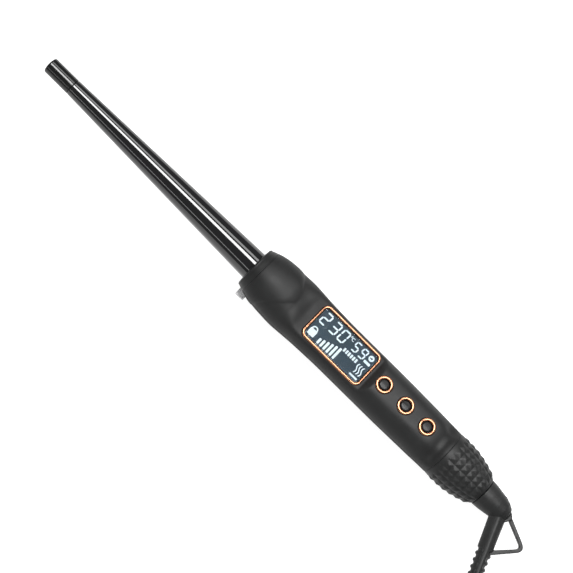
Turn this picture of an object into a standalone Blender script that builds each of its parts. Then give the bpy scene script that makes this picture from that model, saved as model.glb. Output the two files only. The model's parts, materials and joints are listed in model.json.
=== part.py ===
"""Curling wand: a tapered heated barrel on a handle with a display, three buttons, a folding stand
and a swivel mains cord. Metres, +Z up. The wand is built in its own frame, with X along its axis
from the cool tip to the cord and Z towards the display, and then stands tilted on stand and grip."""

import bisect
from math import asin, cos, pi, radians, sin, tau

import bmesh
import bpy
from mathutils import Matrix, Vector

MM = 0.001
GAP = 0.3  # space left between two pieces that touch

# Driving dimensions, in millimetres. A station is a distance from the free end of the cool tip.
TIP_END = 18.0
TIP_R = 4.75
BARREL_START = 18.3
BARREL_TAPER_END = 160.5
BARREL_END = 178.0
BARREL_TIP_R = 4.8
BARREL_BASE_R = 8.7
INSIDE_R = (BARREL_TIP_R - 1.0, BARREL_BASE_R - 1.0)
RING_START = 160.2
RING_END = 165.0
SHELL_START = 165.6
SHELL_END = 308.2
SHELL_WALL = 1.8
GRIP_END = 339.1
GUARD_START = 339.6
ELBOW = 353.6
SPINDLE_END = 346.0

# Outer radius of the handle at stations along it, and height of the flattened top above the axis.
HANDLE = [(165.6, 14.5), (168.5, 15.4), (172.2, 16.1), (178.9, 16.75), (188.9, 16.95), (198.9, 16.4)]
HANDLE += [(205.6, 15.95), (212.2, 15.7), (225.6, 15.35), (265.6, 15.3), (282, 15.05), (295.6, 14.8)]
HANDLE += [(302, 14.6), (308.2, 14.5)]
TOP = [(165.6, 22), (184, 20), (189, 16.6), (195.5, 12.6), (202, 9.7), (248.6, 9.7), (251, 12.0)]
TOP += [(253.5, 14.0), (300, 14.1), (304, 16), (308.2, 20)]
FLAT_SHARPNESS = 20  # how tightly the flattened top turns into the round sides

GRIP = [(308.5, 14.75), (312.2, 14.85), (318.9, 14.6), (322.2, 14.25), (325.6, 13.45), (328.9, 12.5)]
GRIP += [(332.2, 11.75), (335.6, 10.65), (338.6, 8.9), (339.1, 8.6)]

DISPLAY_AT = 225.7
BEZEL_SIZE = (43.9, 23.5)
BEZEL_STROKE = 1.6
BEZEL_CORNER = 4.0
BEZEL_HEIGHT = (9.3, 10.8)
WINDOW_SIZE = (40.1, 19.7)

BUTTONS = [("front", 257.5), ("middle", 274.0), ("rear", 290.5)]
BUTTON_R = 2.95
BUTTON_TOP = 14.3
RING_OUTER_R = 5.1
RING_INNER_R = 3.25
BOARD = (198.0, 294.8, 21.0, 1.4, 3.0)  # first and last station, width, bottom and top height
SWITCH_TOP = 8.4
SCREWS = [("front", 192.0), ("rear", 298.6)]

TILT = radians(4.2)
STAND_PIN = (167.6, -18.2)  # station and height of the stand's hinge
STAND_RAKE = 2.2
STAND_FOOT = (4.8, 7.5, 11.2)  # length along the wand, inner and outer distance from the middle

BEND = radians(68)  # the cord guard leaves the axis at this angle
DROOP = radians(7.9)
GUARD_LENGTH = 48.0
GUARD_R = (4.8, 4.2)

# The cord lies on the ground. Its routes are in the world, and the rest of it is in a tied hank.
CORD_R = 3.0
CORD_ROUTE = [(197.81, -44.36, 4.55), (200.4, -50.9, 3.7), (202.0, -54.9, 3.3), (203.5, -58.7, 3.15)]
CORD_ROUTE += [(207.9, -66.2, 3.1), (214.9, -72.8, 3.1), (223.6, -76.8, 3.1), (232.0, -78.0, 3.1)]
CORD_ROUTE += [(238.0, -78.0, 3.1)]
TAIL_ROUTE = [(337.6, -31.3, 19.5), (336.0, -23.0, 16.2), (331.0, -15.0, 12.4), (323.0, -8.6, 9.2)]
TAIL_ROUTE += [(316.0, -5.8, 7.3), (312.0, -5.4, 6.9), (309.1, -5.4, 6.85)]
HANK_FOLDS = (234.0, 311.5)  # where the middle of each end fold is, along the world's X
HANK_MIDDLE = -47.4
HANK_FOLD_R = 24.0  # radius of the outer turn's folds, at the middle of the cord
HANK_NECK = 9.6  # half the outer turn's width at the tie
HANK_HEIGHT = 18.0
TIE_WIDTH = 9.0
TIE_THICK = 1.2
PLUG_REAR = (308.0, -5.4, 6.85)
PLUG_RELIEF = 19.0
PLUG_BODY = (34.0, 35.3, 13.7)
PLUG_PIN = (2.0, 19.0, 9.5)  # radius, length, distance from the middle

MATERIALS = {
    "barrel_coating": ((0.008, 0.008, 0.009), 0.12, 0.0),
    "tip_plastic": ((0.012, 0.012, 0.013), 0.35, 0.0),
    "soft_touch_black": ((0.035, 0.035, 0.036), 0.55, 0.0),
    "rose_gold": ((0.78, 0.42, 0.28), 0.22, 1.0),
    "display_glass": ((0.03, 0.05, 0.07), 0.08, 0.0),
    "lcd": ((0.05, 0.09, 0.12), 0.3, 0.0),
    "light_guide": ((0.8, 0.83, 0.86), 0.4, 0.0),
    "button_black": ((0.03, 0.03, 0.032), 0.25, 0.0),
    "rubber_black": ((0.025, 0.025, 0.026), 0.6, 0.0),
    "stand_grey": ((0.42, 0.42, 0.43), 0.5, 0.0),
    "steel": ((0.6, 0.6, 0.62), 0.3, 1.0),
    "brass": ((0.75, 0.55, 0.25), 0.3, 1.0),
    "aluminium": ((0.75, 0.76, 0.78), 0.35, 1.0),
    "heater_ceramic": ((0.75, 0.72, 0.66), 0.5, 0.0),
    "insulator": ((0.55, 0.5, 0.42), 0.55, 0.0),
    "board_green": ((0.02, 0.16, 0.06), 0.4, 0.0),
    "component_black": ((0.02, 0.02, 0.02), 0.45, 0.0),
    "capacitor_yellow": ((0.7, 0.5, 0.08), 0.4, 0.0),
    "lead_red": ((0.5, 0.03, 0.02), 0.5, 0.0),
    "lead_white": ((0.7, 0.7, 0.68), 0.5, 0.0),
}


def clear_scene():
    for obj in list(bpy.data.objects):
        bpy.data.objects.remove(obj, do_unlink=True)


def material(name):
    found = bpy.data.materials.get(name)
    if found:
        return found
    colour, roughness, metallic = MATERIALS[name]
    made = bpy.data.materials.new(name)
    made.use_nodes = True
    shader = made.node_tree.nodes["Principled BSDF"]
    shader.inputs["Base Color"].default_value = (*colour, 1)
    shader.inputs["Roughness"].default_value = roughness
    shader.inputs["Metallic"].default_value = metallic
    made.diffuse_color = (*colour, 1)
    return made


def between(points, at):
    """The value at a station, on a smooth curve through (station, value) points that never overshoots."""
    places = [p[0] for p in points]
    i = min(max(bisect.bisect_right(places, at) - 1, 0), len(points) - 2)
    slopes = [(b[1] - a[1]) / (b[0] - a[0]) for a, b in zip(points, points[1:])]

    def tangent(k):
        if k in (0, len(points) - 1):
            return slopes[min(k, len(slopes) - 1)]
        before, after = slopes[k - 1], slopes[k]
        return 0.0 if before * after <= 0 else 2 * before * after / (before + after)

    (x0, y0), (x1, y1) = points[i], points[i + 1]
    h = x1 - x0
    t = min(max((at - x0) / h, 0), 1)
    rise = (2 * t**3 - 3 * t**2 + 1) * y0 + (3 * t**2 - 2 * t**3) * y1
    return rise + h * ((t**3 - 2 * t**2 + t) * tangent(i) + (t**3 - t**2) * tangent(i + 1))


def new_object(name, shape, slot, parent=None, origin=(0, 0, 0)):
    """An object from a bmesh in millimetres, with its own origin, which it is placed by."""
    bmesh.ops.remove_doubles(shape, verts=shape.verts, dist=1e-5)
    bmesh.ops.recalc_face_normals(shape, faces=shape.faces)
    move = Matrix.Scale(MM, 4) @ Matrix.Translation(-Vector(origin))
    bmesh.ops.transform(shape, matrix=move, verts=shape.verts)
    mesh = bpy.data.meshes.new(name)
    shape.to_mesh(mesh)
    shape.free()
    mesh.shade_smooth()
    mesh.set_sharp_from_angle(angle=radians(35))
    obj = bpy.data.objects.new(name, mesh)
    bpy.context.scene.collection.objects.link(obj)
    obj.location = Vector(origin) * MM
    obj.parent = parent
    if slot:
        mesh.materials.append(material(slot))
    return obj


def helper(obj):
    """Hides a cutter or an added boss, which is not a piece of its own."""
    obj.hide_render = True
    obj.display_type = "WIRE"
    return obj


def combine(obj, other, operation):
    change = obj.modifiers.new(operation.lower(), "BOOLEAN")
    change.operation = operation
    change.solver = "EXACT"
    change.object = helper(other)


def lathe(profile, segments, axis="X", at=(0, 0), looped=True):
    """A turned solid from (place along the axis, radius) points. A point with no radius is a pole."""
    shape = bmesh.new()
    rings = []
    for along, radius in profile:
        count = segments if radius > 1e-6 else 1
        ring = []
        for k in range(count):
            u, v = radius * cos(tau * k / segments), radius * sin(tau * k / segments)
            point = {
                "X": (along, at[0] + u, at[1] + v),
                "Y": (at[0] + v, along, at[1] + u),
                "Z": (at[0] + u, at[1] + v, along),
            }[axis]
            ring.append(shape.verts.new(point))
        rings.append(ring)
    pairs = list(zip(rings, rings[1:]))
    if looped:
        pairs.append((rings[-1], rings[0]))
    for a, b in pairs:
        for k in range(segments):
            corners = [a[k % len(a)], a[(k + 1) % len(a)], b[(k + 1) % len(b)], b[k % len(b)]]
            distinct = list(dict.fromkeys(corners))
            if len(distinct) > 2:
                shape.faces.new(distinct)
    return shape


def spindle_shape(profile, segments, axis="X", at=(0, 0)):
    """A solid turned piece: the profile is closed onto the axis at both ends."""
    closed = [(profile[0][0], 0.0), *profile, (profile[-1][0], 0.0)]
    return lathe(closed, segments, axis, at, looped=False)


def rounded(width, height, corner, steps=5, centre=(0, 0)):
    """The outline of a rectangle with round corners, as (x, y) points."""
    outline = []
    for quarter, (sx, sy) in enumerate([(1, 1), (-1, 1), (-1, -1), (1, -1)]):
        cx = centre[0] + sx * (width / 2 - corner)
        cy = centre[1] + sy * (height / 2 - corner)
        for k in range(steps + 1):
            turn = pi / 2 * (quarter + k / steps)
            outline.append((cx + corner * cos(turn), cy + corner * sin(turn)))
    return outline


def extruded(outline, low, high, axis="Z", hole=None):
    """A prism from an outline, along Z (outline x, y), Y (x, z) or X (y, z), with an optional hole."""

    def place(point, height):
        u, v = point
        return {"Z": (u, v, height), "Y": (u, height, v), "X": (height, u, v)}[axis]

    shape = bmesh.new()
    loops = [outline] + ([hole] if hole else [])
    made = []
    for loop in loops:
        made.append([[shape.verts.new(place(p, h)) for p in loop] for h in (low, high)])
    for bottom, top in made:
        for k in range(len(bottom)):
            after = (k + 1) % len(bottom)
            shape.faces.new([bottom[k], bottom[after], top[after], top[k]])
    if hole:
        for level in (0, 1):
            outer, inner = made[0][level], made[1][level]
            for k in range(len(outer)):
                after = (k + 1) % len(outer)
                shape.faces.new([outer[k], outer[after], inner[after], inner[k]])
    else:
        shape.faces.new(made[0][0])
        shape.faces.new(made[0][1])
    return shape


def block(low, high):
    shape = bmesh.new()
    size = [b - a for a, b in zip(low, high)]
    middle = [(a + b) / 2 for a, b in zip(low, high)]
    scaled = Matrix.Translation(middle) @ Matrix.Diagonal((*size, 1))
    bmesh.ops.create_cube(shape, size=1, matrix=scaled)
    return shape


def spaced_curve(route, spacing):
    """Evenly spaced points on a Catmull-Rom curve through the route's points."""
    ends = [2 * route[0] - route[1], *route, 2 * route[-1] - route[-2]]
    fine = []
    for k in range(1, len(ends) - 2):
        a, b, c, d = ends[k - 1 : k + 3]
        for step in range(24):
            t = step / 24
            even = 2 * b + (c - a) * t + (2 * a - 5 * b + 4 * c - d) * t**2
            fine.append((even + (3 * b - a - 3 * c + d) * t**3) / 2)
    fine.append(route[-1])
    lengths = [0.0]
    for a, b in zip(fine, fine[1:]):
        lengths.append(lengths[-1] + (b - a).length)
    count = max(2, round(lengths[-1] / spacing) + 1)
    points = []
    for k in range(count):
        at = lengths[-1] * k / (count - 1)
        i = min(bisect.bisect_right(lengths, at) - 1, len(fine) - 2)
        share = (at - lengths[i]) / (lengths[i + 1] - lengths[i])
        points.append(fine[i].lerp(fine[i + 1], share))
    return points


def tube(name, route, radius, slot, parent=None, spacing=None, sides=2):
    """A round lead or cord along a route of points in millimetres."""
    points = spaced_curve([Vector(p) for p in route], spacing or 5 * radius)
    curve = bpy.data.curves.new(name, "CURVE")
    curve.dimensions = "3D"
    curve.bevel_depth = radius * MM
    curve.bevel_resolution = sides
    curve.use_fill_caps = True
    spline = curve.splines.new("POLY")
    spline.points.add(len(points) - 1)
    for point, place in zip(spline.points, points):
        point.co = (*(place * MM), 1)
    curve.materials.append(material(slot))
    obj = bpy.data.objects.new(name, curve)
    bpy.context.scene.collection.objects.link(obj)
    obj.parent = parent
    return obj


def rest_height():
    """Height of the wand's axis at station 0, when the grip and the stand both touch the ground."""
    return max(at * sin(TILT) + radius * cos(TILT) for at, radius in GRIP)


def wand_place():
    """Where station 0 of the axis is in the world, with the wand centred over the origin."""
    first = -(TIP_R - 2) * sin(TILT)
    last = SPINDLE_END * cos(TILT) + 4.6 * sin(TILT)
    return Vector((-(first + last) / 2, 0, rest_height()))


def wand_frame():
    """The empty that carries the wand."""
    frame = bpy.data.objects.new("wand_frame", None)
    bpy.context.scene.collection.objects.link(frame)
    frame.location = wand_place() * MM
    frame.rotation_euler = (0, TILT, 0)
    return frame


def to_world(point):
    """A point in the wand's frame, in the world, in millimetres."""
    return wand_place() + Matrix.Rotation(TILT, 3, "Y") @ Vector(point)


# ---- heated barrel ----


def barrel_radius(at):
    share = min(max((at - BARREL_START) / (BARREL_TAPER_END - BARREL_START), 0), 1)
    return BARREL_TIP_R + share * (BARREL_BASE_R - BARREL_TIP_R)


def make_barrel(wand):
    outer = [(BARREL_START, BARREL_TIP_R - 0.15), (BARREL_START + 0.3, barrel_radius(BARREL_START))]
    outer += [(BARREL_TAPER_END, BARREL_BASE_R), (BARREL_END, BARREL_BASE_R)]
    inner = [(BARREL_END, INSIDE_R[1]), (BARREL_TAPER_END, INSIDE_R[1]), (BARREL_START, INSIDE_R[0])]
    new_object("barrel", lathe(outer + inner, 32), "barrel_coating", wand)


def make_cool_tip(wand):
    edge = 1.0
    dome = [(0.0, TIP_R - 2.2), (0.15, TIP_R - edge)]
    dome += [(edge * (1 - cos(a)) + 0.15, TIP_R - edge * (1 - sin(a))) for a in (0.5, 1.0, pi / 2)]
    spigot_r = INSIDE_R[0] - 0.1
    body = [(TIP_END, TIP_R), (TIP_END, spigot_r), (TIP_END + 8, spigot_r)]
    new_object("cool_tip", spindle_shape(dome + body, 24), "tip_plastic", wand)


def make_nose(wand):
    bore = BARREL_BASE_R + GAP
    ring = [(RING_START, bore), (RING_START, 9.4), (161.5, 13.0), (163.0, 13.75), (RING_END - 0.4, 14.2)]
    ring += [(RING_END, 14.0), (RING_END, 12.2), (168.6, 12.2), (168.6, bore)]
    new_object("nose_ring", lathe(ring, 32), "soft_touch_black", wand)
    holder = [(169.0, bore), (169.0, 13.0), (171.5, 13.0), (171.5, 11.0), (177.0, 11.0), (177.0, 13.6)]
    holder += [(180.5, 13.6), (180.5, 7.2), (BARREL_END + GAP, 7.2), (BARREL_END + GAP, bore)]
    new_object("barrel_holder", lathe(holder, 24), "insulator", wand)


def make_heater(wand):
    """A flat ceramic heater between two half-round aluminium clamps that carry its heat to the barrel."""
    first, last, radius, half = 62.0, 142.0, 4.6, 0.75
    start = asin((half + GAP) / radius)
    for name, side in (("heater_clamp_upper", 1), ("heater_clamp_lower", -1)):
        turns = [start + (pi - 2 * start) * k / 10 for k in range(11)]
        outline = [(radius * cos(t), side * radius * sin(t)) for t in turns]
        new_object(name, extruded(outline, first, last, "X"), "aluminium", wand)
    plate = block((first, -3.6, -half), (last, 3.6, half))
    new_object("ceramic_heater", plate, "heater_ceramic", wand)
    sensor = spindle_shape([(144.0, 0.5), (144.5, 0.95), (148.6, 0.95), (149.0, 0.5)], 12, "X", (0, 2.6))
    new_object("temperature_sensor", sensor, "component_black", wand)


def make_leads(wand):
    for side, name in ((1, "heater_lead_live"), (-1, "heater_lead_neutral")):
        route = [(142.4, 1.9 * side, 0), (160, 2.2 * side, 0), (182, 4.6 * side, 0.4)]
        route += [(190, 6.4 * side, 1.4), (BOARD[0] - GAP, 7.0 * side, 2.2)]
        tube(name, route, 0.8, "lead_white", wand)
    route = [(149.4, 0, 2.6), (164, 0.6, 2.8), (182, 4.2, 4.4), (193, 5.4, 4.6), (199.4, 4.6, 4.2)]
    tube("sensor_lead", route, 0.6, "lead_red", wand)
    for side, name in ((1, "supply_lead_live"), (-1, "supply_lead_neutral")):
        route = [(BOARD[1] + GAP, 6.6 * side, 2.2), (299, 6.8 * side, 1.2), (308.9, 5.6 * side, 0)]
        tube(name, route, 0.9, "lead_red" if side > 0 else "lead_white", wand)


# ---- handle ----


def handle_radius(at, turn, wall=0.0):
    """Distance of the handle's surface from its axis, turn being 90 degrees at the display."""
    radius = between(HANDLE, at) - wall
    top = (between(TOP, at) - wall) / max(sin(turn), 1e-3)
    power = FLAT_SHARPNESS
    return (radius**-power + top**-power) ** (-1 / power) if sin(turn) > 0.05 else radius


def half_shell(side, stations, steps=16):
    """Half of the handle's wall, on the display's side or the other, with flat edges along the seam."""
    seam = asin(GAP / 2 / 12.0)
    shape = bmesh.new()
    grid = []
    for k in range(steps + 1):
        turn = side * (seam + (pi - 2 * seam) * k / steps)
        row = []
        for wall, places in ((0.0, stations), (SHELL_WALL, stations[::-1])):
            for at in places:
                radius = handle_radius(at, turn, wall)
                row.append(shape.verts.new((at, radius * cos(turn), radius * sin(turn))))
        grid.append(row)
    for a, b in zip(grid, grid[1:]):
        for k in range(len(a)):
            after = (k + 1) % len(a)
            shape.faces.new([a[k], a[after], b[after], b[k]])
    outer = len(stations)
    for row in (grid[0], grid[-1]):
        for k in range(outer - 1):
            shape.faces.new([row[k], row[k + 1], row[2 * outer - 2 - k], row[2 * outer - 1 - k]])
    return shape


def make_top_shell(wand):
    stations = [165.6, 168.5, 172.2, 178.9, 184.5, 189, 192, 195.5, 199, 202, 225, 248.6, 250, 251.2]
    stations += [252.4, 254, 270, 285, 300, 302.5, 308.2]
    shell = new_object("handle_top_shell", half_shell(1, stations), "soft_touch_black", wand)
    for name, at in SCREWS:
        top = between(TOP, at) if at > 200 else 15.0
        boss = lathe([(GAP / 2, 1.2), (GAP / 2, 3.0), (top - 1.0, 3.0), (top - 1.0, 1.2)], 16, "Z", (at, 0))
        combine(shell, new_object(f"boss_{name}", boss, None, wand), "UNION")
    pocket_size = [size + 2 * GAP for size in BEZEL_SIZE]
    pocket = extruded(rounded(*pocket_size, BEZEL_CORNER, 5, (DISPLAY_AT, 0)), BEZEL_HEIGHT[0] - GAP, 20)
    combine(shell, new_object("bezel_pocket", pocket, None, wand), "DIFFERENCE")
    opening = rounded(WINDOW_SIZE[0] + 0.1, WINDOW_SIZE[1] - 1.6, 1.5, 3, (DISPLAY_AT, 0))
    combine(shell, new_object("display_opening", extruded(opening, 5, 20), None, wand), "DIFFERENCE")
    for name, at in BUTTONS:
        profile = [(10, 3.8), (12.9, 3.8), (12.9, RING_OUTER_R + GAP), (20, RING_OUTER_R + GAP)]
        hole = spindle_shape(profile, 32, "Z", (at, 0))
        combine(shell, new_object(f"hole_{name}", hole, None, wand), "DIFFERENCE")


def make_bottom_shell(wand):
    stations = [165.6, 168.5, 172.2, 178.9, 188.9, 198.9, 212.2, 225.6, 265.6, 282, 302, 308.2]
    shell = new_object("handle_bottom_shell", half_shell(-1, stations), "soft_touch_black", wand)
    for name, at in SCREWS:
        wall = -between(HANDLE, at) + 0.6
        boss = spindle_shape([(wall, 3.7), (-GAP / 2, 3.7)], 18, "Z", (at, 0))
        combine(shell, new_object(f"low_boss_{name}", boss, None, wand), "UNION")
        hole = spindle_shape([(-25, 2.7), (wall + 4.0, 2.7), (wall + 4.0, 1.5), (2, 1.5)], 16, "Z", (at, 0))
        combine(shell, new_object(f"screw_hole_{name}", hole, None, wand), "DIFFERENCE")
    at, height = STAND_PIN
    for side in (1, -1):
        sides = sorted((side * 4.25, side * 6.55))
        turns = [pi + pi * k / 8 for k in range(9)]
        outline = [(at + 2.3 * cos(t), height + 2.3 * sin(t)) for t in turns]
        outline += [(at + 4.3, -13.6), (at - 0.6, -12.9)]
        ear = new_object(f"ear_{side + 1}", extruded(outline, *sides, "Y"), None, wand)
        combine(shell, ear, "UNION")
    bore = new_object("pin_bore", spindle_shape([(-8, 0.95), (8, 0.95)], 16, "Y", (at, height)), None, wand)
    combine(shell, bore, "DIFFERENCE")


def make_screws(wand):
    for name, at in SCREWS:
        head = -between(HANDLE, at) + 4.6 - GAP
        profile = [(head - 1.4, 2.2), (head, 2.2), (head, 1.0), (6.0, 1.0)]
        screw = spindle_shape(profile, 16, "Z", (at, 0))
        new_object(f"shell_screw_{name}", screw, "steel", wand)


def make_rear_grip(wand):
    outer = [(303.6, 10.9), (303.6, 12.2), (SHELL_END + 0.1, 12.2), *GRIP]
    inner = [(GRIP_END, 5.3), (323.0, 5.3), (323.0, 10.9)]
    new_object("rear_grip", lathe(outer + inner, 40), "soft_touch_black", wand)


# ---- display and controls ----


def make_display(wand):
    centre = (DISPLAY_AT, 0)
    inner_size = [size - 2 * BEZEL_STROKE for size in BEZEL_SIZE]
    outline = rounded(*BEZEL_SIZE, BEZEL_CORNER, 6, centre)
    hole = rounded(*inner_size, BEZEL_CORNER - BEZEL_STROKE, 6, centre)
    bezel = extruded(outline, *BEZEL_HEIGHT, "Z", hole)
    new_object("display_bezel", bezel, "rose_gold", wand)
    window = rounded(*WINDOW_SIZE, 2.2, 4, centre)
    new_object("display_window", extruded(window, 9.3, 10.1), "display_glass", wand)
    panel = rounded(38.6, 17.4, 0.6, 1, centre)
    new_object("lcd_panel", extruded(panel, 7.2, 9.0), "lcd", wand)
    new_object("backlight", extruded(rounded(38.6, 17.4, 0.6, 1, centre), 4.6, 6.9), "light_guide", wand)


def make_board(wand):
    first, last, width, low, high = BOARD
    outline = rounded(last - first, width, 1.0, 2, ((first + last) / 2, 0))
    new_object("control_board", extruded(outline, low, high), "board_green", wand)
    chip = block((238, -5, low - 1.9), (248, 5, low - GAP))
    new_object("microcontroller", chip, "component_black", wand)
    triac = block((268, -5.2, low - 4.9), (278.5, 5.2, low - GAP))
    new_object("triac", triac, "component_black", wand)
    film = block((206, -6.5, low - 8.6), (219, 6.5, low - GAP))
    new_object("film_capacitor", film, "capacitor_yellow", wand)
    can = [(low - 9.8, 3.7), (low - 9.4, 4.0), (low - GAP, 4.0)]
    new_object("smoothing_capacitor", spindle_shape(can, 20, "Z", (229, 0)), "aluminium", wand)


def make_buttons(wand):
    for name, at in BUTTONS:
        ring = [(13.2, RING_INNER_R), (13.2, RING_OUTER_R), (14.2, RING_OUTER_R), (14.75, 4.6)]
        ring += [(14.75, 3.75), (14.3, RING_INNER_R)]
        new_object(f"button_ring_{name}", lathe(ring, 24, "Z", (at, 0)), "rose_gold", wand)
        cap = [(9.4, 1.6), (10.5, 1.6), (10.5, 3.4), (11.9, 3.4), (11.9, BUTTON_R)]
        cap += [(BUTTON_TOP - 0.5, BUTTON_R), (BUTTON_TOP - 0.15, 2.3), (BUTTON_TOP, 1.2)]
        button = spindle_shape(cap, 16, "Z", (at, 0))
        new_object(f"button_{name}", button, "button_black", wand, (at, 0, BUTTON_TOP))
        switch = extruded(rounded(6.0, 6.0, 0.5, 1, (at, 0)), BOARD[4] + GAP, 6.6)
        plunger = spindle_shape([(6.3, 1.7), (SWITCH_TOP, 1.7)], 12, "Z", (at, 0))
        body = new_object(f"switch_{name}", switch, "component_black", wand)
        combine(body, new_object(f"plunger_{name}", plunger, None, wand), "UNION")


# ---- stand ----


def make_stand(wand):
    """A flared plate on a pin under the nose. It stands upright, a little past its pin, on two feet."""
    pin = to_world((STAND_PIN[0], 0, STAND_PIN[1]))
    foot_length, foot_inner, foot_outer = STAND_FOOT
    toe = pin.x - STAND_RAKE
    half = foot_length / 2
    leg = [(-3.9, pin.z + 1.2), (-3.9, 4.8), (-foot_outer, 2.2), (-foot_outer, 0), (-foot_inner, 0)]
    leg.append((-4.6, 2.0))
    outline = leg + [(-y, z) for y, z in leg[::-1]]
    plate = extruded(outline, -1.1, 1.1, "X")
    shear = Matrix.Identity(4)
    shear[0][2] = STAND_RAKE / pin.z
    shear[0][3] = toe
    bmesh.ops.transform(plate, matrix=shear, verts=plate.verts)
    stand = new_object("stand", plate, "stand_grey", None, pin)
    for side in (1, -1):
        low = (toe - half, min(side * foot_inner, side * foot_outer), 0)
        high = (toe + half, max(side * foot_inner, side * foot_outer), 2.4)
        foot = new_object(f"foot_{side + 1}", block(low, high), None)
        combine(stand, foot, "UNION")
    knuckle = spindle_shape([(-3.9, 2.1), (3.9, 2.1)], 20, "Y", (pin.x, pin.z))
    combine(stand, new_object("stand_knuckle", knuckle, None), "UNION")
    bore = spindle_shape([(-9, 1.0), (9, 1.0)], 16, "Y", (pin.x, pin.z))
    combine(stand, new_object("stand_bore", bore, None), "DIFFERENCE")
    rod = spindle_shape([(-6.8, 0.6), (-6.6, 0.9), (6.6, 0.9), (6.8, 0.6)], 16, "Y", STAND_PIN)
    new_object("stand_pin", rod, "steel", wand)


# ---- swivel, cord guard and cord ----


def guard_point(along, across, out=0.0):
    """A point in the guard's plane, in the wand's frame: along the axis, across towards the cord's side."""
    side = Vector((0, -cos(DROOP), -sin(DROOP)))
    up = Vector((0, -sin(DROOP), cos(DROOP)))
    return Vector((along, 0, 0)) + side * across + up * out


def guard_centre(distance):
    """A point on the guard's own centreline, at a distance from the elbow."""
    return guard_point(ELBOW + distance * cos(BEND), distance * sin(BEND))


def make_swivel(wand):
    spindle = [(316.2, 8.6), (320.4, 8.6), (320.4, 7.4), (322.7, 7.4), (322.7, 5.2), (339.2, 5.2)]
    spindle += [(339.2, 4.6), (SPINDLE_END, 4.6)]
    new_object("swivel_spindle", spindle_shape(spindle, 24), "component_black", wand)
    for name, low, high in (("slip_ring_inner", 1.4, 3.4), ("slip_ring_outer", 5.0, 7.0)):
        ring = [(315.3, low), (315.3, high), (315.9, high), (315.9, low)]
        new_object(name, lathe(ring, 20), "brass", wand)
    block_profile = [(309.2, 10.5), (312.0, 10.5)]
    new_object("contact_block", spindle_shape(block_profile, 20), "insulator", wand)
    for name, height in (("contact_inner", 2.4), ("contact_outer", -6.0)):
        pin = spindle_shape([(312.3, 0.8), (314.6, 0.8), (315.0, 0.5)], 12, "X", (0, height))
        new_object(name, pin, "brass", wand)


def rod_shape(start, end, radii, segments=16):
    """A round tapered rod between two points."""
    direction = end - start
    profile = [(0, radii[0]), (direction.length, radii[1])]
    shape = spindle_shape(profile, segments, "Z")
    turn = direction.to_track_quat("Z", "Y").to_matrix().to_4x4()
    bmesh.ops.transform(shape, matrix=Matrix.Translation(start) @ turn, verts=shape.verts)
    return shape


def slab(outline, half):
    """A flat piece in the guard's plane, from (along, across) points, with a thickness on both sides."""
    shape = extruded(outline, -half, half)
    for vert in shape.verts:
        vert.co = guard_point(*vert.co)
    return shape


def make_guard(wand):
    """The rubber guard: a collar, a bent sleeve round the cord, and a loop to hang it by."""
    collar = [(GUARD_START, 8.45), (344, 8.3), (350, 7.4), (355, 6.4), (358.2, 4.6), (359.6, 2.0)]
    inner = [(SPINDLE_END + GAP, 4.9), (GUARD_START, 4.9)]
    shape = lathe([(359.6, 0), *collar[::-1], *inner[::-1], (SPINDLE_END + GAP, 0)], 24, looped=False)
    guard = new_object("cord_guard", shape, "rubber_black", wand, (ELBOW, 0, 0))
    sleeve = rod_shape(guard_centre(0), guard_centre(GUARD_LENGTH), GUARD_R)
    combine(guard, new_object("guard_sleeve", sleeve, None, wand), "UNION")
    web = slab([(349, 6.4), (349, -6.6), (362.6, -0.6), (364.2, 1.4), (362.4, 10)], 2.1)
    combine(guard, new_object("guard_web", web, None, wand), "UNION")
    loop_outer = [(361.6, -1.0), (375.6, 5.2), (377.6, 6.8), (378.1, 8.6), (377.2, 10.6), (367.4, 23.6)]
    loop_inner = [(363.0, 22.6), (375.4, 9.6), (375.9, 8.3), (375.0, 7.2), (362.6, 1.6)]
    strap = slab([*loop_outer, (364.6, 24.6), *loop_inner], 1.6)
    combine(guard, new_object("guard_loop", strap, None, wand), "UNION")


def hank_outline():
    """The hank seen from above: round folds, a waist at the tie, and a shoulder that the cord meets."""
    first, last = HANK_FOLDS
    half = (last - first) / 2
    shoulder = CORD_ROUTE[-1][0] + GAP
    shoulder_width = HANK_MIDDLE - CORD_ROUTE[-1][1] + CORD_R
    fold = HANK_FOLD_R + CORD_R
    side = []
    for k in range(17):
        along = half * (k / 8 - 1)
        neck = (1 - cos(pi * along / half)) / 2
        side.append((first + half + along, HANK_NECK + CORD_R + (fold - HANK_NECK - CORD_R) * neck))
    lower = [(shoulder, fold), (shoulder, shoulder_width), (shoulder + 4, shoulder_width - 0.6)]
    lower += [(shoulder + 12, side[4][1] + 4.5), *side[5:]]
    outline = [(first, HANK_MIDDLE - fold)] + [(x, HANK_MIDDLE - width) for x, width in lower]
    outline += [(last + fold * sin(pi * k / 12), HANK_MIDDLE - fold * cos(pi * k / 12)) for k in range(1, 12)]
    outline += [(x, HANK_MIDDLE + width) for x, width in side[::-1]]
    outline += [(first - fold * sin(pi * k / 12), HANK_MIDDLE + fold * cos(pi * k / 12)) for k in range(1, 12)]
    return outline


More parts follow.
